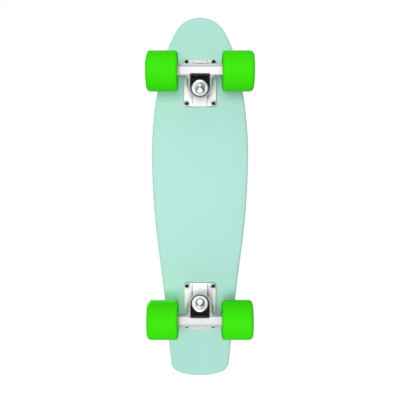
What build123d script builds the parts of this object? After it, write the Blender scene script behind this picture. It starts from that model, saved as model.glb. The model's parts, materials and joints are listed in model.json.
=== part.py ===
from build123d import *
import os
from math import cos, hypot, radians, sin, tan

# A small moulded-plastic cruiser skateboard, in millimetres.
# X runs along the board towards the nose, Y to its left and Z up.
# The origin is on the floor under the middle of the deck.

os.makedirs("parts", exist_ok=True)

# Wheels, bearings and axles
wheel_diameter = 59
wheel_width = 46
wheel_track = 111
outer_lip_round = 6
inner_lip_round = 4
hub_ledge_bore = 19
hub_mouth_diameter = 27
hub_rim_diameter = 38
bearing_bore = 8
bearing_diameter = 22
bearing_width = 7
ball_diameter = 3.969
ball_count = 7
ball_circle_diameter = 15
inner_race_diameter = 12
outer_race_bore = 18
shield_thickness = 0.4
shield_inset = 0.25
cage_thickness = 1
cage_height = 3
cage_back = 0.4
spacer_length = 10
spacer_diameter = 10.8
speed_ring_diameter = 11.2
speed_ring_thickness = 0.8
axle_nut_across = 13
axle_nut_height = 6.5
axle_tip = 1.2

# Trucks
nose_overhang = 91
tail_overhang = 110
truck_height = 50.5
bolt_setback = 11
bolt_pattern_length = 63.5
bolt_pattern_width = 41.3
flange_length = 72
flange_width = 50.5
flange_thickness = 5
flange_corner = 5
flange_round = 1.2
kingpin_lean = 27
kingpin_diameter = 9.5
kingpin_head_diameter = 15
kingpin_head_height = 6
kingpin_nut_across = 14.3
kingpin_nut_height = 8
kingpin_tip = 2.5
seat_inboard = 9.1
seat_above_axle = 29.7
seat_diameter = 27
bushing_diameter = 27.5
boardside_bushing_height = 13
roadside_bushing_height = 14
bushing_round = 1.2
washer_diameter = 25.2
washer_thickness = 1.5
ring_floor = 5
ring_recess = 1.5
ring_hole = 13
yoke_wall = 3.2
yoke_draft = 8
yoke_cover = 10.5
yoke_flat = 15.6
yoke_blend = 7
yoke_foot = 9
pivot_setback = 9
pivot_above_axle = 34.5
pivot_nub_diameter = 9.6
pivot_nub_reach = 2
pivot_boss_width = 22
pivot_boss_wall = 1.6
pivot_boss_setback = 2.1
boss_draft = 4
buttress_drop = 2.5
buttress_reach = 12
cup_wall = 1.6
cup_depth = 9
cup_mouth = 5
cup_chamfer = 2.2
arm_width = 10
arm_gap = 1
shoulder_diameter = 14.4
shoulder_reach = 3.7
bar_half_width = 6.3
bar_below_axle = 7.2
bar_above_axle = 9.5
bar_shelf = 11.5
bar_shelf_bottom = 1.8
bar_shelf_top = 5.7
relief_low = 3.9
relief_high = 6.5
relief_reach = 16
bar_round = 2

# Deck
deck_length = 569
deck_width = 150
deck_thickness = 9
deck_edge_round = 3.6
platform_width = 60
rail_rise = 3.5
nose_bend_reach = 58.5
nose_bend_radius = 200
nose_angle = 7
tail_bend_reach = 77.5
tail_bend_radius = 110
tail_angle = 22
widest_from_nose = 212
nose_shoulder_reach = 67
nose_shoulder_width = 112
tail_shoulder_reach = 60
tail_shoulder_width = 98
tail_width = 90
tail_end_radius = 95
tail_corner = 20

# Fasteners through the deck
bolt_diameter = 4
bolt_head_diameter = 8.8
bolt_head_sink = 0.2
bolt_tip = 1.5
bolt_socket = 3
bolt_socket_depth = 2.2
lock_nut_across = 7
lock_nut_height = 4.5
lock_nut_collar = 1.4

# Clearances
running_gap = 0.06
cast_gap = 0.02
shank_gap = 0.2
turning_gap = 0.2
bushing_gap = 0.35
cage_gap = 0.1
upright = 0.02

# Sizes that follow from those above
axle_height = wheel_diameter / 2
deck_underside = axle_height + truck_height
deck_top = deck_underside + deck_thickness
half_length = deck_length / 2
bearing_offset = (spacer_length + bearing_width) / 2
hub_face = spacer_length / 2 + bearing_width
nut_face = hub_face + speed_ring_thickness
wheel_y = wheel_track / 2
shoulder_y = wheel_y - nut_face
axle_end = wheel_y + nut_face + axle_nut_height + axle_tip
groove_radius = ball_diameter / 2 + running_gap
ball_path = ball_circle_diameter / 2
axle_fit = bearing_bore / 2 + cast_gap
on_axle = (Align.CENTER, Align.MIN)
bushing_bore = kingpin_diameter + 2 * shank_gap
pocket_radius = bushing_diameter / 2 + bushing_gap
yoke_radius = pocket_radius + yoke_wall
cup_diameter = pivot_nub_diameter + 2 * (running_gap + cup_wall)
bolt_setting = deck_underside - flange_thickness
flange_outer = flange_length / 2 - bolt_setback
flange_inner = flange_outer - flange_length
flange_bottom = truck_height - flange_thickness
pivot_outboard = flange_outer - pivot_setback

# Stations down the kingpin from the baseplate's seat
bushing_start = washer_thickness
ring_seat = bushing_start + boardside_bushing_height
ring_top = ring_seat - ring_recess
pocket_floor = ring_seat + ring_floor
roadside_washer = pocket_floor + roadside_bushing_height
kingpin_nut_start = roadside_washer + washer_thickness
kingpin_end = kingpin_nut_start + kingpin_nut_height + kingpin_tip
yoke_rim = pocket_floor + yoke_cover
ring_centre = ring_seat + ring_floor / 2
head_lift = kingpin_head_diameter / 2 * tan(radians(kingpin_lean))
seat_to_deck = (truck_height - seat_above_axle) / cos(radians(kingpin_lean))
head_top = seat_to_deck - head_lift

# The steering axis runs from the middle of the hanger's ring out to the pivot cup
ring_inboard = seat_inboard + ring_centre * sin(radians(kingpin_lean))
ring_above_axle = seat_above_axle - ring_centre * cos(radians(kingpin_lean))
axis_run = pivot_outboard + ring_inboard
axis_rise = pivot_above_axle - ring_above_axle
axis_cos = axis_run / hypot(axis_run, axis_rise)
axis_sin = axis_rise / hypot(axis_run, axis_rise)

front, rear = 1, -1
trucks = {"front": front, "rear": rear}
left, right = 1, -1
sides = {"left": left, "right": right}
axle_stations = {front: half_length - nose_overhang, rear: tail_overhang - half_length}


def axle_x(outward):
    """Where a truck's axle lies along the board; outward is 1 at the nose and -1 at the tail."""
    return axle_stations[outward]


def bolts_x(outward):
    """Where the middle of a truck's bolt pattern lies along the board."""
    return axle_x(outward) - outward * bolt_setback


def side_plane(outward):
    """A truck's middle plane seen from the side: outboard of the axle, and height above it."""
    return Plane((axle_x(outward), 0, axle_height), x_dir=(outward, 0, 0), z_dir=(0, -outward, 0))


def kingpin_plane(outward, down=0):
    """The plane square to the kingpin, this far down it from the baseplate's seat."""
    lean = radians(kingpin_lean)
    seat = (axle_x(outward) - outward * seat_inboard, 0, axle_height + seat_above_axle)
    along = (outward * sin(lean), 0, cos(lean))
    across = (outward * cos(lean), 0, -sin(lean))
    return Plane(seat, x_dir=across, z_dir=along).offset(-down)


def pivot_plane(outward):
    """A truck's middle plane with its first axis along the steering axis, from the pivot point."""
    pivot = (axle_x(outward) + outward * pivot_outboard, 0, axle_height + pivot_above_axle)
    return Plane(pivot, x_dir=(outward * axis_cos, 0, axis_sin), z_dir=(0, -outward, 0))


def wheel_plane(outward, side):
    """A plane through a wheel's axis: outwards from its middle, and up from the axis."""
    middle = (axle_x(outward), side * wheel_y, axle_height)
    return Plane(middle, x_dir=(0, side, 0), z_dir=(side, 0, 0))


def line_of(plane):
    """The axis along a plane's first direction."""
    return Axis(plane.origin, plane.x_dir)


def outer_corner(sketch):
    """The corner of a half profile that is farthest along its axis and from it."""
    return sketch.vertices().group_by(Axis.X)[-1].sort_by(Axis.Y)[-1]


def tangent_pair(start, start_way, finish, finish_way):
    """Two arcs that leave start one way, meet smoothly and reach finish the other way."""
    first = Vector(*start)
    last = Vector(*finish)
    away = Vector(*start_way).normalized()
    into = Vector(*finish_way).normalized()
    span = last - first
    reach = span.dot(away + into)
    bend = 2 * (1 - away.dot(into))
    leg = ((reach**2 + bend * span.dot(span)) ** 0.5 - reach) / bend
    middle = (first + away * leg + last - into * leg) * 0.5
    first_arc = TangentArc(first, middle, tangent=away)
    TangentArc(middle, last, tangent=first_arc % 1)


def save(builder, name):
    """Label a finished piece and write it under that name."""
    builder.part.label = name
    export_step(builder.part, f"parts/{name}.step")


# Deck: one curved board, cut to its outline, with rounded edges and countersunk bolt holes
tail_sine = sin(radians(tail_angle))
tail_cosine = cos(radians(tail_angle))
tail_run = tail_bend_reach / tail_cosine
tail_lift = tail_bend_radius * (1 - tail_cosine)
tail_arc_x = tail_bend_reach - half_length - tail_bend_radius * tail_sine
spine_start = (tail_arc_x - tail_run * tail_cosine, tail_lift + tail_run * tail_sine)
section_half = deck_width / 2 + deck_thickness
nose_tip = (half_length, 0)
nose_shoulder = (half_length - nose_shoulder_reach, nose_shoulder_width / 2)
widest_point = (half_length - widest_from_nose, deck_width / 2)
tail_shoulder = (tail_shoulder_reach - half_length, tail_shoulder_width / 2)
tail_bulge = tail_end_radius - (tail_end_radius**2 - (tail_width / 2) ** 2) ** 0.5
tail_edge = (tail_bulge - half_length, tail_width / 2)
tail_slope = (tail_edge[0] - tail_shoulder[0], tail_edge[1] - tail_shoulder[1])

with BuildPart() as deck:
    with BuildLine(Plane.XZ.shift_origin((0, 0, deck_underside))) as spine:
        tail = Line(spine_start, (tail_arc_x, tail_lift))
        kick = JernArc(tail @ 1, (tail_cosine, -tail_sine), tail_bend_radius, tail_angle)
        flat = Line(kick @ 1, (half_length - nose_bend_reach, 0))
        bend = JernArc(flat @ 1, (1, 0), nose_bend_radius, nose_angle)
        PolarLine(bend @ 1, nose_bend_reach, nose_angle)
    start = Vector(spine_start[0], 0, deck_underside + spine_start[1])
    with BuildSketch(Plane(start, x_dir=(0, 1, 0), z_dir=(tail_cosine, 0, -tail_sine))) as section:
        with BuildLine():
            Line((0, 0), (platform_width / 2, 0))
            TangentArc((platform_width / 2, 0), (section_half, rail_rise), tangent=(1, 0))
            Line((section_half, rail_rise), (section_half, rail_rise + deck_thickness))
            TangentArc(
                (platform_width / 2, deck_thickness),
                (section_half, rail_rise + deck_thickness),
                tangent=(1, 0),
            )
            Line((platform_width / 2, deck_thickness), (0, deck_thickness))
            mirror(about=Plane.YZ)
        make_face()
    sweep(path=spine.line)
    with BuildSketch() as outline:
        with BuildLine():
            side = TangentArc(widest_point, nose_shoulder, tangent=(1, 0))
            tangent_pair(nose_shoulder, side % 1, nose_tip, (0, -1))
            tangent_pair(widest_point, (-1, 0), tail_shoulder, tail_slope)
            Line(tail_shoulder, tail_edge)
            mirror(about=Plane.XZ)
            ThreePointArc(tail_edge, (-half_length, 0), (tail_edge[0], -tail_edge[1]))
        make_face()
        fillet(outline.vertices().group_by(Axis.X)[0], radius=tail_corner)
    extrude(amount=deck_top + deck_length, mode=Mode.INTERSECT)
    walls = deck.faces().filter_by(lambda face: abs(face.normal_at().Z) < upright)
    fillet(walls.edges().filter_by(Axis.Z, reverse=True), radius=deck_edge_round)
    with Locations((bolts_x(front), 0, deck_top), (bolts_x(rear), 0, deck_top)):
        with GridLocations(bolt_pattern_length, bolt_pattern_width, 2, 2):
            CounterSinkHole(bolt_diameter / 2 + shank_gap, bolt_head_diameter / 2 + shank_gap)
save(deck, "deck")

# One countersunk bolt and one lock nut, set out four to a truck
head_cone = (bolt_head_diameter - bolt_diameter) / 2
bolt_length = deck_thickness + flange_thickness + lock_nut_height + bolt_tip
with BuildPart() as truck_bolt:
    with BuildSketch(Plane.XZ):
        with BuildLine():
            Polyline(
                (0, deck_top - bolt_head_sink),
                (bolt_head_diameter / 2, deck_top - bolt_head_sink),
                (bolt_diameter / 2, deck_top - bolt_head_sink - head_cone),
                (bolt_diameter / 2, deck_top - bolt_length),
                (0, deck_top - bolt_length),
                close=True,
            )
        make_face()
    revolve(axis=Axis.Z)
    with BuildSketch(Plane.XY.offset(deck_top - bolt_head_sink)):
        RegularPolygon(bolt_socket / 2, 6, major_radius=False)
    extrude(amount=-bolt_socket_depth, mode=Mode.SUBTRACT)

with BuildPart() as lock_nut:
    with BuildSketch(Plane.XY.offset(bolt_setting)):
        RegularPolygon(lock_nut_across / 2, 6, major_radius=False)
        Circle(bolt_diameter / 2 + cast_gap, mode=Mode.SUBTRACT)
    extrude(amount=lock_nut_collar - lock_nut_height)
    with BuildSketch(Plane.XY.offset(bolt_setting + lock_nut_collar - lock_nut_height)):
        Circle(lock_nut_across / 2 - cast_gap)
        Circle(bolt_diameter / 2 + cast_gap, mode=Mode.SUBTRACT)
    extrude(amount=-lock_nut_collar)
    chamfer(lock_nut.edges().group_by(Axis.Z)[0].sort_by(SortBy.LENGTH)[-1], length=lock_nut_collar / 3)

for end, outward in trucks.items():
    for name, piece in (("truck_bolts", truck_bolt), ("lock_nuts", lock_nut)):
        with BuildPart() as fasteners:
            with Locations((bolts_x(outward), 0, 0)):
                with GridLocations(bolt_pattern_length, bolt_pattern_width, 2, 2):
                    add(piece.part)
        save(fasteners, f"{end}_{name}")

# Points of the trucks' side profiles, outboard of the axle and above it
boss_radius = cup_diameter / 2 + pivot_boss_wall
arm_face = cup_mouth + arm_gap


def beside_axis(along, across):
    """A side-profile point, this far along the steering axis from the pivot and across it."""
    outboard = pivot_outboard + along * axis_cos - across * axis_sin
    return (outboard, pivot_above_axle + along * axis_sin + across * axis_cos)


for end, outward in trucks.items():
    truck_side = side_plane(outward)
    pivot_side = pivot_plane(outward)
    steering_axis = line_of(pivot_side)

    # Baseplate: a flange with a leaning kingpin boss, a buttress and a boss for the pivot cup
    with BuildPart() as baseplate:
        with BuildSketch(Plane((bolts_x(outward), 0, deck_underside))):
            RectangleRounded(flange_length, flange_width, flange_corner)
        extrude(amount=-flange_thickness)
        fillet(baseplate.faces().sort_by(Axis.Z)[0].edges(), radius=flange_round)
        with BuildSketch(kingpin_plane(outward)):
            Circle(seat_diameter / 2)
        extrude(amount=seat_to_deck + seat_diameter / 2, taper=-boss_draft)
        with BuildSketch(truck_side):
            with BuildLine():
                Polyline(
                    (-seat_inboard, truck_height),
                    (-seat_inboard - seat_diameter / 4, seat_above_axle + seat_diameter / 4),
                    (flange_inner + buttress_reach, flange_bottom - buttress_drop),
                    (flange_inner, flange_bottom),
                    (flange_inner, truck_height),
                    close=True,
                )
            make_face()
        extrude(amount=pivot_boss_width / 2, both=True)
        with BuildSketch(truck_side):
            with BuildLine():
                Polyline(
                    beside_axis(-cup_mouth, -boss_radius),
                    beside_axis(-cup_mouth, boss_radius),
                    (0, truck_height),
                    (flange_outer, truck_height),
                    (flange_outer - pivot_boss_setback, flange_bottom),
                    (flange_outer - pivot_boss_setback, pivot_above_axle - cup_chamfer),
                    beside_axis(cup_depth - cup_mouth - cup_chamfer, -boss_radius),
                    close=True,
                )
            make_face()
        extrude(amount=pivot_boss_width / 2, both=True)
        split(bisect_by=Plane.XY.offset(deck_underside), keep=Keep.BOTTOM)
        with BuildSketch(kingpin_plane(outward)):
            Circle(kingpin_diameter / 2 + cast_gap)
        extrude(amount=head_top, mode=Mode.SUBTRACT)
        with BuildSketch(kingpin_plane(outward, kingpin_head_height - head_top)):
            Circle(kingpin_head_diameter / 2 + shank_gap)
        extrude(amount=truck_height, mode=Mode.SUBTRACT)
        with BuildSketch(pivot_side) as cup_bore:
            with Locations((-cup_mouth - boss_radius, 0)):
                bore_radius = cup_diameter / 2 + cast_gap
                Rectangle(cup_depth + boss_radius, bore_radius, align=(Align.MIN, Align.MIN))
            chamfer(outer_corner(cup_bore), length=cup_chamfer)
        revolve(axis=steering_axis, mode=Mode.SUBTRACT)
        with Locations((bolts_x(outward), 0, deck_underside)):
            with GridLocations(bolt_pattern_length, bolt_pattern_width, 2, 2):
                Hole(bolt_diameter / 2 + shank_gap)
    save(baseplate, f"{end}_baseplate")

    # Pivot cup: a plastic liner that the hanger's nub turns in
    nub_radius = pivot_nub_diameter / 2
    with BuildPart() as pivot_cup:
        with BuildSketch(pivot_side) as cup_profile:
            with Locations((-cup_mouth, 0)):
                Rectangle(cup_depth, cup_diameter / 2, align=(Align.MIN, Align.MIN))
            chamfer(outer_corner(cup_profile), length=cup_chamfer)
            with Locations((-cup_mouth, 0)):
                Rectangle(
                    cup_depth - cup_wall,
                    nub_radius + running_gap,
                    align=(Align.MIN, Align.MIN),
                    mode=Mode.SUBTRACT,
                )
        revolve(axis=steering_axis)
    save(pivot_cup, f"{end}_pivot_cup")

    # Kingpin: a leaning bolt whose head is let into the top of the baseplate
    with BuildPart() as kingpin:
        with BuildSketch(kingpin_plane(outward, kingpin_end)):
            Circle(kingpin_diameter / 2)
        extrude(amount=kingpin_end + head_top)
        with BuildSketch(kingpin_plane(outward, kingpin_head_height - head_top)):
            Circle(kingpin_head_diameter / 2)
        extrude(amount=kingpin_head_height)
        tip = kingpin.edges().filter_by(GeomType.CIRCLE).group_by(Axis.Z)[0]
        chamfer(tip, length=kingpin_tip / 3)
    save(kingpin, f"{end}_kingpin")

    with BuildPart() as kingpin_nut:
        with BuildSketch(kingpin_plane(outward, kingpin_nut_start + kingpin_nut_height)):
            RegularPolygon(kingpin_nut_across / 2, 6, major_radius=False)
            Circle(kingpin_diameter / 2 + cast_gap, mode=Mode.SUBTRACT)
        extrude(amount=kingpin_nut_height)
    save(kingpin_nut, f"{end}_kingpin_nut")

    # Washers and bushings, stacked down the kingpin on both sides of the hanger's ring
    for name, start_down in (("boardside_washer", 0), ("roadside_washer", roadside_washer)):
        with BuildPart() as washer:
            with BuildSketch(kingpin_plane(outward, start_down + washer_thickness)):
                Circle(washer_diameter / 2)
                Circle(bushing_bore / 2, mode=Mode.SUBTRACT)
            extrude(amount=washer_thickness)
        save(washer, f"{end}_{name}")

    with BuildPart() as boardside_bushing:
        with BuildSketch(kingpin_plane(outward, ring_seat)):
            Circle(bushing_diameter / 2)
            Circle(bushing_bore / 2, mode=Mode.SUBTRACT)
        extrude(amount=boardside_bushing_height)
        rims = boardside_bushing.edges().filter_by(GeomType.CIRCLE).group_by(SortBy.RADIUS)[-1]
        fillet(rims, radius=bushing_round)
    save(boardside_bushing, f"{end}_boardside_bushing")

    # The roadside bushing fills its pocket, so it is round inboard and square towards the bar
    with BuildPart() as roadside_bushing:
        with BuildSketch(kingpin_plane(outward, roadside_washer)) as block:
            Circle(bushing_diameter / 2)
            Rectangle(yoke_flat - bushing_gap, bushing_diameter, align=(Align.MIN, Align.CENTER))
            fillet(block.vertices().group_by(Axis.X)[-1], radius=bushing_round)
            Circle(bushing_bore / 2, mode=Mode.SUBTRACT)
        extrude(amount=roadside_bushing_height)
    save(roadside_bushing, f"{end}_roadside_bushing")

    # Hanger: the bar round the axle, the walled yoke round the bushings, and the pivot arm
    with BuildPart() as hanger:
        with BuildSketch(truck_side) as bar:
            with BuildLine():
                Polyline(
                    (-bar_half_width, -bar_below_axle),
                    (bar_half_width, -bar_below_axle),
                    (bar_half_width + bar_round / 2, bar_shelf_bottom),
                    (bar_shelf, bar_shelf_bottom),
                    (bar_shelf, bar_shelf_top),
                    (bar_half_width, bar_above_axle),
                    (-bar_half_width, bar_above_axle),
                    (-bar_half_width - bar_round, bar_above_axle / 2),
                    (-bar_half_width - bar_round, 0),
                    close=True,
                )
            make_face()
            fillet(bar.vertices(), radius=bar_round / 2)
        extrude(amount=shoulder_y - shoulder_reach, both=True)
        with BuildSketch(Plane((axle_x(outward), 0, axle_height), z_dir=(0, 1, 0))):
            Circle(shoulder_diameter / 2)
        extrude(amount=shoulder_y, both=True)
        with BuildSketch(truck_side):
            with BuildLine():
                Polyline(
                    (-bar_half_width / 2, 0),
                    (bar_half_width / 2, bar_above_axle),
                    beside_axis(-arm_face - nub_radius / 2, nub_radius / 2),
                    beside_axis(-arm_face, nub_radius / 2),
                    beside_axis(-arm_face, -nub_radius),
                    (bar_shelf, bar_shelf_top),
                    (bar_half_width, 0),
                    close=True,
                )
            make_face()
        extrude(amount=arm_width / 2, both=True)
        with BuildSketch(pivot_side) as nub:
            with Locations((pivot_nub_reach, 0)):
                nub_length = pivot_nub_reach + arm_face + nub_radius / 2
                Rectangle(nub_length, nub_radius, align=(Align.MAX, Align.MIN))
            fillet(outer_corner(nub), radius=nub_radius / 2)
        revolve(axis=steering_axis)
        with BuildSketch(kingpin_plane(outward, yoke_rim)) as yoke:
            Circle(yoke_radius)
            Rectangle(yoke_flat + bar_round, 2 * yoke_radius, align=(Align.MIN, Align.CENTER))
            with Locations((yoke_flat + bar_round, 0)):
                foot_width = 2 * (yoke_radius + yoke_foot)
                Rectangle(bar_round, foot_width, align=(Align.MIN, Align.CENTER))
            corners = yoke.vertices().group_by(Axis.X)[-2].sort_by(Axis.Y)
            fillet(corners[1:-1], radius=yoke_blend)
        extrude(amount=yoke_rim - ring_top, taper=-yoke_draft)
        with BuildSketch(kingpin_plane(outward, pocket_floor)):
            Circle(pocket_radius)
            Rectangle(yoke_flat, 2 * pocket_radius, align=(Align.MIN, Align.CENTER))
        extrude(amount=-kingpin_end, mode=Mode.SUBTRACT)
        with BuildSketch(truck_side):
            with BuildLine():
                Polyline(
                    (-relief_high, 0),
                    (-relief_low, -bar_below_axle),
                    (-relief_low, -axle_height),
                    (-relief_reach, -axle_height),
                    (-relief_reach, 0),
                    close=True,
                )
            make_face()
        extrude(amount=pocket_radius, both=True, mode=Mode.SUBTRACT)
        with BuildSketch(kingpin_plane(outward, ring_seat)):
            Circle(pocket_radius)
        extrude(amount=ring_seat, mode=Mode.SUBTRACT)
        with BuildSketch(kingpin_plane(outward, kingpin_end)):
            Circle(ring_hole / 2)
        extrude(amount=kingpin_end, mode=Mode.SUBTRACT)
        with BuildSketch(Plane((axle_x(outward), 0, axle_height), z_dir=(0, 1, 0))):
            Circle(bearing_bore / 2 + cast_gap)
        extrude(amount=shoulder_y, both=True, mode=Mode.SUBTRACT)
    save(hanger, f"{end}_hanger")

    # Axle, its nuts, the speed rings, and the inner races and spacers that sit still on it
    with BuildPart() as axle:
        with BuildSketch(Plane((axle_x(outward), 0, axle_height), z_dir=(0, 1, 0))):
            Circle(bearing_bore / 2)
        extrude(amount=axle_end, both=True)
        chamfer(axle.edges().filter_by(GeomType.CIRCLE), length=axle_tip / 2)
    save(axle, f"{end}_axle")

    with BuildPart() as axle_nuts:
        for side in sides.values():
            face = Plane((axle_x(outward), side * (wheel_y + nut_face), axle_height), z_dir=(0, side, 0))
            with BuildSketch(face):
                RegularPolygon(axle_nut_across / 2, 6, major_radius=False)
                Circle(bearing_bore / 2 + cast_gap, mode=Mode.SUBTRACT)
            extrude(amount=axle_nut_height)
    save(axle_nuts, f"{end}_axle_nuts")

    with BuildPart() as speed_rings:
        ring_middle = hub_face + speed_ring_thickness / 2
        for side in sides.values():
            hub = wheel_plane(outward, side)
            with BuildSketch(hub):
                with Locations((-ring_middle, axle_fit), (ring_middle, axle_fit)):
                    Rectangle(speed_ring_thickness, speed_ring_diameter / 2 - axle_fit, align=on_axle)
            revolve(axis=line_of(hub))
    save(speed_rings, f"{end}_speed_rings")

    with BuildPart() as spacers:
        for side in sides.values():
            hub = wheel_plane(outward, side)
            with BuildSketch(hub):
                with Locations((0, axle_fit)):
                    Rectangle(spacer_length, spacer_diameter / 2 - axle_fit, align=on_axle)
            revolve(axis=line_of(hub))
    save(spacers, f"{end}_bearing_spacers")

    with BuildPart() as inner_races:
        for side in sides.values():
            hub = wheel_plane(outward, side)
            with BuildSketch(hub):
                with Locations((-bearing_offset, axle_fit), (bearing_offset, axle_fit)):
                    Rectangle(bearing_width, inner_race_diameter / 2 - axle_fit, align=on_axle)
                with Locations((-bearing_offset, ball_path), (bearing_offset, ball_path)):
                    Circle(groove_radius, mode=Mode.SUBTRACT)
            revolve(axis=line_of(hub))
    save(inner_races, f"{end}_bearing_inner_races")

    # Each wheel with what turns on its two bearings
    for side_name, side in sides.items():
        corner = f"{end}_{side_name}"
        hub = wheel_plane(outward, side)
        hub_axis = line_of(hub)
        bearing_spots = ((-bearing_offset, 0), (bearing_offset, 0))

        with BuildPart() as wheel:
            with BuildSketch(hub) as wheel_profile:
                with BuildLine():
                    half = wheel_width / 2
                    Polyline(
                        (-half, wheel_diameter / 2),
                        (-half, hub_rim_diameter / 2),
                        (-hub_face, hub_mouth_diameter / 2),
                        (-hub_face, bearing_diameter / 2 + cast_gap),
                        (-spacer_length / 2, bearing_diameter / 2 + cast_gap),
                        (-spacer_length / 2, hub_ledge_bore / 2),
                        (spacer_length / 2, hub_ledge_bore / 2),
                        (spacer_length / 2, bearing_diameter / 2 + cast_gap),
                        (hub_face, bearing_diameter / 2 + cast_gap),
                        (hub_face, hub_mouth_diameter / 2),
                        (half, hub_rim_diameter / 2),
                        (half, wheel_diameter / 2),
                        close=True,
                    )
                make_face()
                tread = wheel_profile.vertices().group_by(Axis.Y)[-1].sort_by(Axis.X)
                fillet(tread[0], radius=inner_lip_round)
                tread = wheel_profile.vertices().group_by(Axis.Y)[-1].sort_by(Axis.X)
                fillet(tread[-1], radius=outer_lip_round)
            revolve(axis=hub_axis)
        save(wheel, f"{corner}_wheel")

        with BuildPart() as outer_races:
            race_bore = outer_race_bore / 2
            with BuildSketch(hub):
                with Locations((-bearing_offset, race_bore), (bearing_offset, race_bore)):
                    Rectangle(bearing_width, bearing_diameter / 2 - race_bore, align=on_axle)
                with Locations((-bearing_offset, ball_path), (bearing_offset, ball_path)):
                    Circle(groove_radius, mode=Mode.SUBTRACT)
            revolve(axis=hub_axis)
        save(outer_races, f"{corner}_bearing_outer_races")

        with BuildPart() as shields:
            shield_bore = inner_race_diameter / 2 + turning_gap
            shield_wall = outer_race_bore / 2 - cast_gap - shield_bore
            shield_out = bearing_width / 2 - shield_inset - shield_thickness / 2
            with BuildSketch(hub):
                with Locations(*bearing_spots):
                    with Locations((-shield_out, shield_bore), (shield_out, shield_bore)):
                        Rectangle(shield_thickness, shield_wall, align=on_axle)
            revolve(axis=hub_axis)
        save(shields, f"{corner}_bearing_shields")

        bearing_planes = [
            Plane(hub.from_local_coords((spot, 0, 0)), z_dir=hub.x_dir)
            for spot in (-bearing_offset, bearing_offset)
        ]
        with BuildPart() as balls:
            with Locations(*bearing_planes):
                with PolarLocations(ball_path, ball_count):
                    Sphere(ball_diameter / 2)
        save(balls, f"{corner}_bearing_balls")

        with BuildPart() as cages:
            with BuildSketch(hub):
                with Locations(*bearing_spots):
                    with Locations((-ball_diameter / 2 - cage_back, ball_path - cage_thickness / 2)):
                        Rectangle(cage_height, cage_thickness, align=(Align.MIN, Align.MIN))
            revolve(axis=hub_axis)
            with Locations(*bearing_planes):
                with PolarLocations(ball_path, ball_count):
                    Sphere(ball_diameter / 2 + cage_gap, mode=Mode.SUBTRACT)
        save(cages, f"{corner}_bearing_cages")
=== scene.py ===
# %% [markdown]
# # A small plastic cruiser board
#
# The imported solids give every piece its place, in metres: X towards the nose, Y to the left, Z up, and the
# wheels on Z = 0. This lesson dresses them. It paints the solids whose shape is already right, adds the
# moulded waffle that gives the top its grip, turns the nuts and washers that show, and sets up a stage that
# is lit from above and from below, because the picture looks up at the underside.

# %% Load the frame
import json
import bpy
import numpy as np
from mathutils import Matrix, Vector

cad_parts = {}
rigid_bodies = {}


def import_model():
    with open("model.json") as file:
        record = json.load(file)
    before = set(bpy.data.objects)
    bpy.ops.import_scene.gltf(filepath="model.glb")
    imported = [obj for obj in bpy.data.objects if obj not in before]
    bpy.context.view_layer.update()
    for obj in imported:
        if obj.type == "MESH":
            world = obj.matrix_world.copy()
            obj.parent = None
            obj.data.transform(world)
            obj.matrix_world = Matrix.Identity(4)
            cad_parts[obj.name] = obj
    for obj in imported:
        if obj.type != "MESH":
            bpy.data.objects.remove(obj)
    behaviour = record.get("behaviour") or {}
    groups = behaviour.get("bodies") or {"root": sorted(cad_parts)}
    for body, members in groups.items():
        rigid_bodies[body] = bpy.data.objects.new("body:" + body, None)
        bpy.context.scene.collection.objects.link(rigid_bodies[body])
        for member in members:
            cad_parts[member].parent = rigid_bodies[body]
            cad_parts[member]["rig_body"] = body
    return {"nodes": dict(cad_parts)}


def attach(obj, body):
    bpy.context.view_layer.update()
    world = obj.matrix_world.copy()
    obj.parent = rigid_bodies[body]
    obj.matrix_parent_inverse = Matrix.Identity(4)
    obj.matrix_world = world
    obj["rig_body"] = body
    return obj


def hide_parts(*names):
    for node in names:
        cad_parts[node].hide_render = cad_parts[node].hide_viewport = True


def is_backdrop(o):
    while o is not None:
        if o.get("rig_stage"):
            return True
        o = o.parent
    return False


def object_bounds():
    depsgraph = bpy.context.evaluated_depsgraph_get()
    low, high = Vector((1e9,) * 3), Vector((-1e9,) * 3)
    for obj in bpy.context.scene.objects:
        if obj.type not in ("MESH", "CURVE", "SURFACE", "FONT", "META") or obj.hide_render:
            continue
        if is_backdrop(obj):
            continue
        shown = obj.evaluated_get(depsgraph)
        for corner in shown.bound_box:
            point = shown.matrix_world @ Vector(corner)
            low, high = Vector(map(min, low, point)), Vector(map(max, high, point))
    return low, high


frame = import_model()
cad_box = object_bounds()
nodes = frame["nodes"]

# %% [markdown]
# ## Arithmetic on shader sockets
#
# A finish is a formula, such as a roughness of 0.4 plus a little where the grain is coarse. In the shader
# editor each sum is a Math node with its wires, and a page of those is hard to read. So the sums are written
# in Python: `Flow` wraps one output socket, and `0.4 + 0.1 * grain` adds the Math nodes that it needs, also
# when the plain number comes first.


# %% Sums on sockets
class Flow:
    """One output socket, whose value goes on into other nodes."""

    def __init__(self, tree, socket):
        self.tree = tree
        self.socket = socket

    def math(self, operation, first, second=0.0):
        """A Math node with this operation on two numbers, either of which may be a Flow."""
        made = self.tree.nodes.new("ShaderNodeMath")
        made.operation = operation
        for socket, value in zip(made.inputs, (first, second)):
            feed(self.tree, socket, value)
        return Flow(self.tree, made.outputs[0])

    def __add__(self, other):
        return self.math("ADD", self, other)

    def __radd__(self, other):
        return self.math("ADD", other, self)

    def __sub__(self, other):
        return self.math("SUBTRACT", self, other)

    def __rsub__(self, other):
        return self.math("SUBTRACT", other, self)

    def __mul__(self, other):
        return self.math("MULTIPLY", self, other)

    def __rmul__(self, other):
        return self.math("MULTIPLY", other, self)

    def __truediv__(self, other):
        return self.math("DIVIDE", self, other)

    def __rtruediv__(self, other):
        return self.math("DIVIDE", other, self)

    def __pow__(self, other):
        return self.math("POWER", self, other)

    def __rpow__(self, other):
        return self.math("POWER", other, self)

    def __abs__(self):
        return self.math("ABSOLUTE", self)


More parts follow.
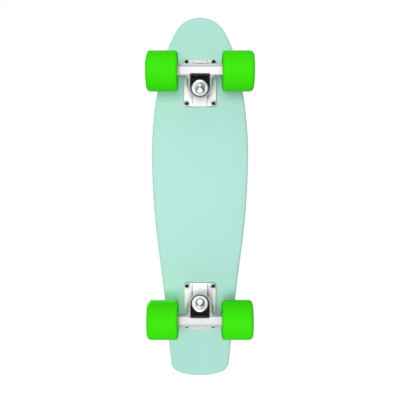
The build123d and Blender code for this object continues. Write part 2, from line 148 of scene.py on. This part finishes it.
def feed(tree, socket, value):
    """Link a Flow to an input socket, or set the socket to a constant."""
    if isinstance(value, Flow):
        tree.links.new(value.socket, socket)
    else:
        socket.default_value = value


# %% [markdown]
# ## A node tree to build in
#
# `Net` builds in one node tree. Each kind of node could have a method of its own, but there are many kinds.
# So one method, `node`, makes any of them from its type, its settings and what goes into its sockets. What
# is used most has a short form: vectors, smooth steps, and colours, which a Math node would turn grey.


# %% Nodes of every kind
class Net:
    """A node tree to build formulas in."""

    def __init__(self, tree):
        self.tree = tree

    def node(self, kind, output, settings=None, **inputs):
        """Any node: its settings, its inputs by name (or I0, I1 by place), and the output that is wanted."""
        made = self.tree.nodes.new(kind)
        for key, value in (settings or {}).items():
            setattr(made, key, value)
        for key, value in inputs.items():
            place = int(key[1:]) if key[0] == "I" and key[1:].isdigit() else key.replace("_", " ")
            feed(self.tree, made.inputs[place], value)
        return None if output is None else Flow(self.tree, made.outputs[output])

    def vector(self, operation, first, second):
        """A Vector Math node on two vectors."""
        return self.node("ShaderNodeVectorMath", "Vector", {"operation": operation}, I0=first, I1=second)

    def dot(self, first, second):
        """The dot product of two vectors."""
        return self.node("ShaderNodeVectorMath", "Value", {"operation": "DOT_PRODUCT"}, I0=first, I1=second)

    def ramp(self, value, start, stop, low=0.0, high=1.0):
        """A smooth step from low at start to high at stop."""
        span = {"From_Min": start, "From_Max": stop, "To_Min": low, "To_Max": high}
        settings = {"interpolation_type": "SMOOTHSTEP"}
        return self.node("ShaderNodeMapRange", "Result", settings, Value=value, **span)

    def mix(self, factor, low, high):
        """A colour that goes from low to high as factor goes from 0 to 1."""
        return self.node("ShaderNodeMix", 2, {"data_type": "RGBA"}, I0=factor, I6=low, I7=high)


# %% [markdown]
# ## One material
#
# `Paint` is the net of one material. A pattern could be laid out on an unwrapped piece, as a label is cut.
# This one reads object coordinates instead, which are metres in the frame, so a grain has its real size on
# every piece and no piece has to be unwrapped.


# %% A paint
class Paint(Net):
    """One procedural material, in object coordinates, ending in a Principled shader."""

    def __init__(self, name):
        self.material = bpy.data.materials.new(name)
        self.material.use_nodes = True
        super().__init__(self.material.node_tree)
        self.shader = self.tree.nodes["Principled BSDF"]
        self.place = self.node("ShaderNodeTexCoord", "Object")

    def noise(self, lumps, detail=3.0, place=None):
        """Smooth noise about 0.5, with this many lumps to the metre."""
        place = place or self.place
        return self.node("ShaderNodeTexNoise", "Fac", Vector=place, Scale=lumps, Detail=detail)

    def bump(self, height, depth, **more):
        """A normal from a height, where a height of 1 stands depth metres proud."""
        return self.node("ShaderNodeBump", "Normal", Height=height, Distance=depth, **more)

    def edges(self, radius):
        """The normal with edges rounded to this radius, and how far it is turned there, from 0 to 1."""
        round_normal = self.node("ShaderNodeBevel", "Normal", {"samples": 4}, Radius=radius)
        same = self.dot(round_normal, self.node("ShaderNodeNewGeometry", "Normal"))
        return round_normal, self.ramp(same, start=0.995, stop=0.90)

    def finish(self, **inputs):
        """Feed the Principled shader by socket name and hand the material back."""
        for key, value in inputs.items():
            feed(self.tree, self.shader.inputs[key.replace("_", " ")], value)
        return self.material


# %% [markdown]
# ## Dressing the solids
#
# Most solids already have the shape of the real piece and need only a finish. Each could be picked by its
# full name. But the names end in what a piece is, such as `_wheel`, so one line can dress all of a kind.


# %% Dressing the solids
def shade(colour, factor):
    """An opaque colour, this many times as bright."""
    return tuple(min(1.0, factor * c) for c in colour) + (1.0,)


def dress(material, *names):
    """Give CAD nodes a material in place of the one they were packed with."""
    for name in names:
        mesh = nodes[name].data
        mesh.materials.clear()
        mesh.materials.append(material)
    print(material.name, "on", len(names), "nodes")


def named(*endings):
    """Every CAD node whose name ends in one of these."""
    return [n for n in sorted(nodes) if n.endswith(endings)]


print("to dress:", len(named("_hanger")), "hangers,", len(named("_wheel")), "wheels and all that joins them")

# %% [markdown]
# ## Mint plastic
#
# The deck is moulded in one go from dyed plastic, so its colour runs right through. One flat colour would
# give the hue but look like cut paper. What varies on a real deck is slight: the dye mixes unevenly over a
# hand's width and the mould leaves a fine satin grain. Noise of two sizes gives these. The rolled rim gets a
# painted highlight, a paler mint where light catches the curve, broken up by the grain. The rim is where the
# surface faces sideways, so the normal finds it and no mask has to be drawn.

# %% Deck paint
mint = (0.458, 0.790, 0.712)
thin_dye, rich_dye, rim_highlight_dye = [shade(mint, factor) for factor in (0.975, 1.02, 1.12)]
deck_paint = Paint("mint_plastic")
cloud = deck_paint.noise(lumps=14.0)
grain = deck_paint.noise(lumps=1600.0, detail=2.0)
facing = deck_paint.dot(deck_paint.node("ShaderNodeTexCoord", "Normal"), (0, 0, 1))
rim_highlight_mask = deck_paint.ramp(abs(facing), start=0.95, stop=0.3)
body = deck_paint.mix(cloud, thin_dye, rich_dye)
mint_material = deck_paint.finish(
    # Painted highlight: where the normal turns sideways on the rolled rim, the mint is mixed towards a paler
    # mint.
    Base_Color=deck_paint.mix(rim_highlight_mask * (0.35 + 0.4 * grain), body, rim_highlight_dye),
    Roughness=0.40 + 0.10 * cloud,
    Specular_IOR_Level=0.25,
    Normal=deck_paint.bump(grain, depth=0.00004),
)
dress(mint_material, "deck")

# %% [markdown]
# ## The waffle on top
#
# The mould also presses a grid of small square pads into the top, turned 45 degrees, and the grooves between
# them give grip. A smooth rim runs round the edge, and a smooth land round each bolt. A bump in the paint
# would be quicker, but it leaves no shape in the mesh, and one pad under Array modifiers can't stop at a
# curved rim. So the pads are worked out flat and all at once, on a grid that the deck's own outline trims.

# %% Waffle sizes, in metres
pad_pitch = 0.010
groove_width = 0.0010
corner_cut = 0.0006
side_slope = 0.0002
crown_inset = 0.0003
rim_width = 0.0105
bolt_land = 0.0072
least_pad = 0.0012
pad_root = 0.0004
crown_height = 0.0003
print("waffle: a pad every", 1000 * pad_pitch, "mm, standing", 1000 * crown_height, "mm proud")


# %% Measuring the solids
def points_of(name, key="co"):
    """The vertices of a CAD node, or their normals, as one array."""
    values = np.empty(3 * len(nodes[name].data.vertices))
    nodes[name].data.vertices.foreach_get(key, values)
    return values.reshape(-1, 3)


def reach(points, others):
    """Distances in plan from each point to each of the others."""
    return np.hypot(*np.moveaxis(points[:, None] - others[None], -1, 0))


def middle(points):
    """The middle of the box round some points."""
    return (points.min(axis=0) + points.max(axis=0)) / 2


def quarters(points):
    """Points sorted by the quarter of the plan that they lie in, about their middle, without empty ones."""
    quarter = (points[:, :2] > middle(points)[:2]) @ (2, 1)
    return [points[quarter == k] for k in np.unique(quarter)]


bolt_points = [own for name in named("_truck_bolts") for own in quarters(points_of(name))]
bolts = np.array([middle(own)[:2] for own in bolt_points])
print("bolts:", len(bolts), "through the deck")


# %% The deck's rim, and the pads inside it
wall_slope = 0.15
rim_points = 480


def deck_rim(steps):
    """The deck's outline in plan: its vertices with level normals, put in order by angle, at even steps."""
    wall = points_of("deck")[abs(points_of("deck", "normal")[:, 2]) < wall_slope, :2]
    wall = wall[reach(wall, bolts).min(axis=1) > bolt_land]
    wall = wall[np.argsort(np.arctan2(wall[:, 1], wall[:, 0]))]
    wall = np.vstack([wall, wall[:1]])
    length = np.append(0.0, np.cumsum(np.hypot(*np.diff(wall, axis=0).T)))
    even = np.linspace(0.0, length[-1], steps, endpoint=False)
    return np.stack([np.interp(even, length, wall[:, k]) for k in (0, 1)], axis=-1)


def inside(points, loop):
    """Whether each point is nearer to the origin than a loop of points round it is, at the same angle."""
    angle = np.arctan2(loop[:, 1], loop[:, 0])
    edge = np.interp(np.arctan2(points[:, 1], points[:, 0]), angle, np.hypot(*loop.T), period=2 * np.pi)
    return np.hypot(*points.T) < edge


rim = deck_rim(rim_points)
half_count = int(np.abs(cad_box).max() / (pad_pitch / 2)) + 1
steps = np.arange(-half_count, half_count + 1)
lattice = np.stack(np.meshgrid(steps, steps), axis=-1).reshape(-1, 2)
centres = lattice[lattice.sum(axis=1) % 2 == 0] * pad_pitch / 2
centres = centres[inside(centres, rim)]
centres = centres[reach(centres, rim).min(axis=1) > rim_width + least_pad]
centres = centres[reach(centres, bolts).min(axis=1) > bolt_land + least_pad]
print("waffle:", len(centres), "pads inside a rim of", len(rim), "points")

# %% [markdown]
# A pad is an octagon, a square with its corners cut, in three rings: root, shoulder and crown. Written as
# complex numbers, a quarter turn is a product with i, and the turn by 45 degrees a product with a number of
# length one, so eight corners take one line. All pads are one array of pads by rings by corners. Corners
# that come too near the rim or a bolt slide away from it, so the grid ends in a clean line.


# %% Waffle pads, still flat
def slide_clear(corners, others, gap):
    """Corners nearer than gap to one of the others move straight away from the nearest, out to that gap."""
    apart = reach(corners, others)
    least = apart.min(axis=1)[:, None]
    outward = (corners - others[apart.argmin(axis=1)]) / least
    return corners + outward * np.maximum(0.0, gap - least)


half = (pad_pitch * np.sqrt(0.5) - groove_width) / 2
edge = np.array([complex(half, corner_cut - half), complex(half, half - corner_cut)])
octagon = (1j ** np.arange(4)[:, None] * edge).ravel() * np.exp(0.25j * np.pi)
scales = np.array([half + side_slope, half, half - crown_inset]) / half
rings = scales[:, None] * octagon
corners = centres[:, None, None] + np.stack([rings.real, rings.imag], axis=-1)[None]
flat = slide_clear(slide_clear(corners.reshape(-1, 2), rim, rim_width), bolts, bolt_land)
index = np.arange(len(flat)).reshape(corners.shape[:3])
low, high = index[:, :-1], index[:, 1:]
sides = np.stack([low, np.roll(low, -1, 2), np.roll(high, -1, 2), high], axis=-1)
faces = sides.reshape(-1, 4).tolist() + index[:, -1].tolist() + index[:, 0, ::-1].tolist()
print("waffle:", len(flat), "vertices,", len(faces), "faces")

# %% [markdown]
# The deck's top is curved both ways, and the pads have to follow it. Its height could be worked out at each
# corner, but Blender already knows the surface. So the flat pads start above it, a Shrinkwrap modifier drops
# them on the solid with their roots just under its skin, and a Displace modifier lifts the crowns. A vertex
# group says how far each ring rises.

# %% Lay the waffle on the deck
drop_height = 0.01
shoulder_share = 0.75
above = cad_box[1][2] + drop_height
waffle_mesh = bpy.data.meshes.new("deck_waffle")
waffle_mesh.from_pydata(np.column_stack([flat, np.full(len(flat), above)]).tolist(), [], faces)
waffle_mesh.materials.append(mint_material)
waffle = bpy.data.objects.new("deck_waffle", waffle_mesh)
bpy.context.scene.collection.objects.link(waffle)
lift = waffle.vertex_groups.new(name="lift")
lift.add(index[:, 1].ravel().tolist(), shoulder_share, "REPLACE")
lift.add(index[:, 2].ravel().tolist(), 1.0, "REPLACE")
lay = waffle.modifiers.new("lay", "SHRINKWRAP")
lay.target = nodes["deck"]
lay.wrap_method = "PROJECT"
lay.use_project_z = True
lay.use_negative_direction = True
lay.use_positive_direction = False
lay.offset = -pad_root
rise = waffle.modifiers.new("rise", "DISPLACE")
rise.direction = "Z"
rise.mid_level = 0.0
rise.strength = pad_root + crown_height
rise.vertex_group = "lift"
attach(waffle, "board")
print("waffle: laid by", [modifier.name for modifier in waffle.modifiers])

# %% [markdown]
# ## Lime urethane
#
# Wheels are poured and then turned on a lathe, which leaves fine rings around the tread. A Wave texture
# makes rings too, but evenly spaced ones. Here they are noise that changes only along the axle: every point
# at the same distance along it shares one value, and the rings come out uneven, as a cutting tool leaves
# them.

# %% Wheel paint
lime = (0.049, 0.83, 0.0015)
along_axle = (0.0, 1.0, 0.0)
wheel_paint = Paint("lime_urethane")
rings_place = wheel_paint.vector("MULTIPLY", wheel_paint.place, along_axle)
rings = wheel_paint.noise(lumps=1500.0, detail=2.0, place=rings_place)
bloom = wheel_paint.noise(lumps=45.0)
lime_material = wheel_paint.finish(
    Base_Color=wheel_paint.mix(bloom, shade(lime, 0.95), shade(lime, 1.04)),
    Roughness=0.50 + 0.12 * rings,
    Specular_IOR_Level=0.06,
    Normal=wheel_paint.bump(rings, depth=0.00003),
)
dress(lime_material, *named("_wheel"))

# %% [markdown]
# ## Cast aluminium
#
# The hangers and baseplates are die cast and tumbled: pale, rough metal with a fine grain, rubbed bright
# along its edges, and with painted shade in its corners, a dark grey where little light would reach. The wear
# and the shade could be painted by hand on each piece. Instead two nodes find them. A Bevel node rounds the
# normal, which then differs from the true one only near an edge, and an Ambient Occlusion node tells how
# open a point is, which sets the painted shade. So one formula serves every casting.

# %% Cast paint
bare_grey = (1.0, 1.0, 1.02)
worn_grey = (0.80, 0.80, 0.81, 1)
painted_shade_grey = (0.10, 0.10, 0.105, 1)


def cast(name, dull, pale):
    """Die-cast aluminium between two greys, rubbed bright along its edges, with painted shade in its corners.
    """
    paint = Paint(name)
    pits = paint.noise(lumps=900.0, detail=4.0)
    tone = paint.noise(lumps=60.0)
    round_normal, worn = paint.edges(radius=0.0009)
    painted_shade_openness = paint.node("ShaderNodeAmbientOcclusion", "AO", {"samples": 6}, Distance=0.006)
    skin = paint.mix(tone, shade(bare_grey, dull), shade(bare_grey, pale))
    rubbed = paint.mix(worn, skin, worn_grey)
    return paint.finish(
        # Painted shade: the colour turns to a dark grey where the Ambient Occlusion node finds a point shut
        # in.
        Base_Color=paint.mix(painted_shade_openness ** 1.5, painted_shade_grey, rubbed),
        Metallic=0.6,
        Roughness=0.40 + 0.16 * pits - 0.12 * worn,
        Normal=paint.bump(pits, depth=0.00015, Normal=round_normal),
    )


# One cast metal in two copies, painted light and shade: the hangers' greys are darker to take back the lamp's
# highlight on their faces, and the baseplates' greys are lighter to make up for the shade they sit in.
dress(cast("hanger_aluminium", dull=0.41, pale=0.52), *named("_hanger"))
dress(cast("baseplate_aluminium", dull=0.55, pale=0.68), *named("_baseplate"))

# %% [markdown]
# ## Plated steel and its threads
#
# Nuts, washers and axles are zinc plated: smoother and brighter than the castings, with a slight haze. A
# thread could be cut into the mesh, as a helix with thousands of faces. It is fine and mostly out of sight,
# so here it is a bump, a zigzag along the axis. That makes rings, not a helix, which at this size looks the
# same. Axles lie along Y, and each kingpin, going up, leans towards its own end of the board.

# %% Steel paint
thread_pitch = 0.00125
hazy_plate = (0.50, 0.50, 0.52, 1)
clear_plate = (0.65, 0.66, 0.68, 1)
worn_plate = (0.86, 0.86, 0.87, 1)


def steel(name, axis=None):
    """Zinc-plated steel: bright, hazy, with softened edges and, given an axis, a rolled thread along it."""
    paint = Paint(name)
    haze = paint.noise(lumps=350.0, detail=3.0)
    plate = paint.mix(haze, hazy_plate, clear_plate)
    round_normal, worn = paint.edges(radius=0.0004)
    height = 0.12 * haze
    if axis is not None:
        turns = paint.dot(paint.place, axis) / thread_pitch
        height = height + turns.math("PINGPONG", turns, 0.5)
    return paint.finish(
        Base_Color=paint.mix(worn, plate, worn_plate),
        Metallic=1.0,
        Roughness=0.22 + 0.16 * haze,
        Normal=paint.bump(height, depth=0.0004, Normal=round_normal),
    )


lean = np.radians(27.0)
leaning = {"front": lean, "rear": -lean}
kingpin_axes = {end: np.array([np.sin(angle), 0, np.cos(angle)]) for end, angle in leaning.items()}
plate_material = steel("zinc_plate")
dress(plate_material, *named("side_washer", "_speed_rings", "_spacers", "_nut", "_nuts"))
dress(steel("axle_thread", along_axle), *named("_axle"))
for end, axis in kingpin_axes.items():
    dress(steel(end + "_kingpin_thread", axis), end + "_kingpin")

# %% [markdown]
# ## Bearing steel
#
# Races and balls are ground and lapped, so they are the smoothest metal on the board. The plated steel would
# do at a distance, but it is too hazy close by. A lower roughness that varies a little, with no bump at all,
# is enough. The bearings' shields wear it too.

# %% Bearing paint
ground_grey = (0.62, 0.62, 0.63, 1)
lapped_grey = (0.74, 0.74, 0.75, 1)
race_paint = Paint("bearing_steel")
lapping = race_paint.noise(lumps=700.0, detail=2.0)
race_material = race_paint.finish(
    Base_Color=race_paint.mix(lapping, ground_grey, lapped_grey),
    Metallic=1.0,
    Roughness=0.16 + 0.10 * lapping,
)
dress(race_material, *named("_races", "_shields", "_balls"))

# %% [markdown]
# ## Black parts
#
# Three blacks differ by their gloss: oxide on the bolts, soft urethane in the bushings, and dry nylon in the
# pivot cups and lock nuts. Pure black would swallow their form, so each is a very dark grey with a faint
# mottle. One function makes them all, and the undyed nylon of the ball cages too.


# %% Black paints and nylon
def mottled(name, tint, rough, spread):
    """A dyed surface with a faint mottle in its colour and its gloss."""
    paint = Paint(name)
    speck = paint.noise(lumps=1200.0, detail=3.0)
    return paint.finish(
        Base_Color=paint.mix(speck, shade(tint, 0.7), shade(tint, 1.35)),
        Roughness=rough + spread * speck,
        Specular_IOR_Level=0.08,
        Normal=paint.bump(speck, depth=0.00006),
    )


black_nylon = mottled("black_nylon", (0.018, 0.018, 0.020), rough=0.50, spread=0.12)
black_oxide = mottled("black_oxide", (0.014, 0.015, 0.016), rough=0.34, spread=0.16)
black_urethane = mottled("black_urethane", (0.006, 0.006, 0.007), rough=0.50, spread=0.20)
natural_nylon = mottled("natural_nylon", (0.55, 0.50, 0.38), rough=0.50, spread=0.12)
dress(black_nylon, *named("_pivot_cup"))
dress(black_oxide, *named("_truck_bolts"))
dress(black_urethane, *named("_bushing"))
dress(natural_nylon, *named("_cages"))

# %% [markdown]
# ## Nuts and washers
#
# In the solids a nut is a plain hexagon. A real lock nut is a piece of hexagonal bar whose corners a cone
# has turned off, with a round collar that grips a nylon ring. It could be cut from a hexagon with a Boolean
# modifier and a cone, which leaves long thin faces. In polar terms it is simpler: its radius is the smaller
# of two, the hexagon's, which depends on the angle, and the turned profile's, which depends on the height.
# Each piece is measured on the node that it replaces, so it sits where the solid does.

# %% Measure a turned solid
def seat_of(points, axis):
    """Where a turned solid sits: foot, two directions across its axis, radius, bore and height.

    Each point is split into a part along the axis and a part across it. The middle of the parts across is
    where the axis runs, the farthest of them gives the radius and the first direction, the nearest the bore.
    """
    along = points @ axis
    across = points - along[:, None] * axis
    centre = middle(across)
    arms = across - centre
    length = np.linalg.norm(arms, axis=1)
    corner = arms[length.argmax()] / length.max()
    foot = centre + along.min() * axis
    return foot, corner, np.cross(axis, corner), length.max(), length.min(), np.ptp(along)


measures = np.array(seat_of(points_of("front_kingpin_nut"), -kingpin_axes["front"])[3:])
print("kingpin nut: radius, bore and height", np.round(1000 * measures, 2), "mm")

# %% [markdown]
# A turned shape is a function: from the angles round the axis and a solid's radius, bore and height, it
# gives a radius for each ring and angle, and a height for each ring. The rings go round the section once, so
# the last joins the first and the mesh is closed. The nylon ring and the washer under the kingpin nut are
# made the same way, with no hexagon.

# %% Turned shapes
mouth_share = 0.80
mouth_floor = 0.75
arc_points = 9


def lock_nut(angle, radius, bore, height):
    """Radii by ring and angle, and ring heights.

    A radius is the smaller of two: the hexagon's, which is the distance of a flat over the cosine of the
    angle from that flat's middle, and the profile's, where cones cut the corners and a hollow collar follows.
    """
    flat = radius * np.cos(np.pi / 6)
    hexagon = flat / np.cos(angle % (np.pi / 3) - np.pi / 6)
    face, collar, bend, lip, mouth = [share * flat for share in (0.94, 0.90, 0.87, 0.83, mouth_share)]
    body, neck, brow, shelf = [share * height for share in (0.70, 0.92, 0.98, mouth_floor)]
    half_way = (face + radius) / 2
    cone = (radius - face) * np.tan(np.pi / 6)
    profile = np.array([
        (bore, 0), (face, 0), (half_way, cone / 2), (radius, cone),
        (radius, body - cone), (half_way, body - cone / 2), (face, body), (collar, body),
        (collar, neck), (bend, brow), (lip, height),
        (mouth, brow), (mouth, shelf), (bore, shelf),
    ])
    return np.minimum(profile[:, :1], hexagon), profile[:, 1]


def nylon_ring(angle, radius, bore, height):
    """Radii by ring and angle, and ring heights, for the ring that fills a lock nut's mouth.

    Its section is a box under half an ellipse, cosine across and sine up, from the mouth's wall to the bore.
    """
    outer = mouth_share * radius * np.cos(np.pi / 6)
    ridge, half = (outer + bore) / 2, (outer - bore) / 2
    brink, swell = 0.90, 0.06
    turn = np.linspace(0.0, np.pi, arc_points)
    crown = np.column_stack([ridge + half * np.cos(turn), height * (brink + swell * np.sin(turn))])
    profile = np.vstack([[(bore, mouth_floor * height), (outer, mouth_floor * height)], crown])
    return profile[:, :1] + 0 * angle, profile[:, 1]


def rolled_washer(angle, radius, bore, height):
    """Radii by ring and angle, and ring heights.

    The section is a disc whose rim rolls over on a quarter ellipse, cosine across and sine up, and whose
    middle is sunk a little.
    """
    roll, well = 0.25 * radius, 0.62 * radius
    sunk = 0.86 * height
    turn = np.linspace(0.0, np.pi / 2, arc_points)
    rim = np.column_stack([radius - roll + roll * np.cos(turn), height * np.sin(turn)])
    profile = np.vstack([[(bore, 0)], rim, [(well, sunk), (bore, sunk)]])
    return profile[:, :1] + 0 * angle, profile[:, 1]


for shape in (lock_nut, nylon_ring, rolled_washer):
    print(shape.__name__, "has", len(shape(np.zeros(1), *measures)[1]), "rings")

# %% [markdown]
# The rings become a mesh by arithmetic on indices: rolling the grid of indices by one along each direction
# gives every vertex its neighbours, and four of them make a face. Smooth shading with sharp edges above an
# angle keeps the cones round and the flats crisp. One object carries all the nuts of a node.

# %% Make a turned piece
turn_steps = 48
crease = np.radians(28.0)


def turn_piece(name, node, solids, shape, material):
    """One closed mesh for a node, with a turned shape for each solid: its points and its outward axis.

    A vertex is the foot, plus its radius along the arm at its angle, plus its height along the axis. An arm
    is cosine of the first direction across and sine of the second.
    """
    angle = np.linspace(0.0, 2 * np.pi, turn_steps, endpoint=False)
    vertices, faces = [], []
    for points, axis in solids:
        foot, out, over, radius, bore, height = seat_of(points, axis)
        radii, heights = shape(angle, radius, bore, height)
        arms = np.cos(angle)[:, None] * out + np.sin(angle)[:, None] * over
        rings = foot + radii[..., None] * arms + heights[:, None, None] * axis
        index = np.arange(radii.size).reshape(radii.shape) + sum(map(len, vertices))
        up = np.roll(index, -1, 0)
        quads = np.stack([index, np.roll(index, -1, 1), np.roll(up, -1, 1), up], axis=-1)
        faces.append(quads.reshape(-1, 4))
        vertices.append(rings.reshape(-1, 3))
    mesh = bpy.data.meshes.new(name)
    mesh.from_pydata(np.vstack(vertices).tolist(), [], np.vstack(faces).tolist())
    mesh.polygons.foreach_set("use_smooth", np.ones(len(mesh.polygons), dtype=bool))
    mesh.set_sharp_from_angle(angle=crease)
    mesh.materials.append(material)
    piece = bpy.data.objects.new(name, mesh)
    bpy.context.scene.collection.objects.link(piece)
    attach(piece, nodes[node]["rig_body"])
    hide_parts(node)
    print(name, len(mesh.vertices), "vertices")


# %% Place the nuts and washers
down = np.array([0.0, 0.0, -1.0])
for end, axis in kingpin_axes.items():
    axle_ends = quarters(points_of(end + "_axle_nuts"))
    seats = {
        "kingpin_nut": [(points_of(end + "_kingpin_nut"), -axis)],
        "axle_nuts": [(own, np.array([0.0, np.sign(own[0, 1]), 0.0])) for own in axle_ends],
        "lock_nuts": [(own, down) for own in quarters(points_of(end + "_lock_nuts"))],
    }
    for nut, solids in seats.items():
        node = end + "_" + nut
        turn_piece(node + "_turned", node, solids, lock_nut, plate_material)
        turn_piece(node + "_nylon", node, solids, nylon_ring, black_nylon)
    washer = end + "_roadside_washer"
    solids = [(points_of(washer), -axis)]
    turn_piece(washer + "_turned", washer, solids, rolled_washer, plate_material)

# %% [markdown]
# ## The floor
#
# The board stands on a plain pale floor, and the picture looks up through it. An opaque floor would hide
# everything, and no floor would leave the board hanging in other views. So the floor has two sides: a Mix
# Shader that asks which side is seen makes it transparent from below. It takes shadows but blocks no light,
# and glows a little, to keep those shadows light.

# %% Floor
floor_size = 8.0
floor_grey = (0.93, 0.93, 0.93, 1)
white = (1, 1, 1, 1)
glow_strength = 1.08
glow_share = 0.5
bpy.ops.mesh.primitive_plane_add(size=floor_size)
floor = bpy.context.object
floor.name = "floor"
floor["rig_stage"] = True
floor.visible_shadow = False
floor.visible_diffuse = False
floor.visible_glossy = False
floor_material = bpy.data.materials.new("pale_floor")
floor_material.use_nodes = True
ground = Net(floor_material.node_tree)
ground.tree.nodes.clear()
under = ground.node("ShaderNodeNewGeometry", "Backfacing")
matt = ground.node("ShaderNodeBsdfDiffuse", "BSDF", Color=floor_grey)
glow = ground.node("ShaderNodeEmission", "Emission", Color=white, Strength=glow_strength)
pale = ground.node("ShaderNodeMixShader", "Shader", I0=glow_share, I1=matt, I2=glow)
clear = ground.node("ShaderNodeBsdfTransparent", "BSDF")
either = ground.node("ShaderNodeMixShader", "Shader", I0=under, I1=pale, I2=clear)
ground.node("ShaderNodeOutputMaterial", None, Surface=either)
floor.data.materials.append(floor_material)
print("floor:", floor_size, "m wide")

# %% [markdown]
# ## The world
#
# A studio is white all round, but plain white from everywhere would wash out the colours and leave metal
# with nothing to show. A picture of a studio could be wrapped round the scene. A formula is enough here,
# since Light Path tells what kind of ray asks: the camera sees white, dull surfaces get a dim even light,
# and reflections see a world that is brighter to the board's right, and a little so above and below, which
# gives the metal its shading.

# %% World
bright_side = (0.15, -0.90, 0.0)
least_shine = 0.35
dull_light = 0.24
world = bpy.data.worlds.new("studio")
bpy.context.scene.world = world
world.use_nodes = True
sky = Net(world.node_tree)
sky.tree.nodes.clear()
way = sky.node("ShaderNodeTexCoord", "Generated")
side = sky.dot(way, bright_side)
level = sky.dot(way, (0.0, 0.0, 1.0))
bright = sky.ramp(side + 0.2 * abs(level), start=-0.7, stop=0.4, low=least_shine, high=1.0)
ray = "ShaderNodeLightPath"
seen = sky.node(ray, "Is Camera Ray")
shine = sky.node(ray, "Is Glossy Ray") + sky.node(ray, "Is Transmission Ray")
strength = seen + (1.0 - seen) * (shine * bright + (1.0 - shine) * dull_light)
soft = sky.node("ShaderNodeBackground", "Background", Color=white, Strength=strength)
sky.node("ShaderNodeOutputWorld", None, Surface=soft)
print("world: reflections from", least_shine, "to 1, dull light", dull_light)

# %% [markdown]
# ## Lamps
#
# One sun stands above the board, for the views from above. A sun below it and two weaker ones, low at nose
# and tail, light the underside evenly. Area lamps would do as well close by, but their light falls off along
# the board. A sun's doesn't, and the wider its angle, the softer its shadow.


# %% Suns
def aim(obj, place, target, up):
    """Stand an object at place with its -Z towards target and its +Y as near to up as it can be."""
    back = (Vector(place) - Vector(target)).normalized()
    right = Vector(up).cross(back).normalized()
    turn = Matrix((right, back.cross(right), back)).transposed()
    obj.matrix_world = Matrix.Translation(place) @ turn.to_4x4()


origin = (0, 0, 0)
noseward = (1, 0, 0)
for name, place, spread, power in (
    ("sun_below", (0.02, -0.09, -1.0), 28.0, 1.60),
    ("fill_nose", (0.90, -0.10, -0.50), 70.0, 0.76),
    ("fill_tail", (-0.90, -0.10, -0.50), 70.0, 0.80),
    ("sun_above", (0.35, -0.45, 1.0), 14.0, 2.75),
):
    light = bpy.data.lights.new(name, "SUN")
    light.angle = np.radians(spread)
    light.energy = power
    lamp = bpy.data.objects.new(name, light)
    bpy.context.scene.collection.objects.link(lamp)
    aim(lamp, place, origin, noseward)
    print(name, "with strength", power)

# %% [markdown]
# ## The camera
#
# The picture is a plan view of the underside with the nose up, so the camera stands under the board and
# looks up, and leans a little towards the tail. An orthographic camera would give a flat plan. A real lens
# shows what is nearer larger, such as the wheels, so this one has perspective too. Colours are shown by the
# Standard view transform, which leaves them about as they are written.

# %% Camera
eye = (0.0539, 0.0, -0.876)
look_at = (0.0021, 0.0, 0.080)
camera_data = bpy.data.cameras.new("camera")
camera_data.sensor_width = 36.0
camera_data.lens = 55.2
camera_data.clip_start = 0.01
camera = bpy.data.objects.new("camera", camera_data)
bpy.context.scene.collection.objects.link(camera)
bpy.context.scene.camera = camera
aim(camera, eye, look_at, noseward)
bpy.context.scene.view_settings.view_transform = "Standard"
print("camera:", round((Vector(eye) - Vector(look_at)).length, 3), "m from what it looks at")

# %% [markdown]
# ## Sizes
#
# Looks don't change an object's size. A slip of a few millimetres hardly shows in a picture, so numbers have
# to tell: the box round the dressed board is printed beside the box of the bare solids.

# %% Sizes, and the end
bpy.context.view_layer.update()
boxes = {"cad": cad_box, "visual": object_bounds()}
for name, (lowest, highest) in boxes.items():
    print(name, "box:", np.round(1000 * np.subtract(highest, lowest), 1), "mm")
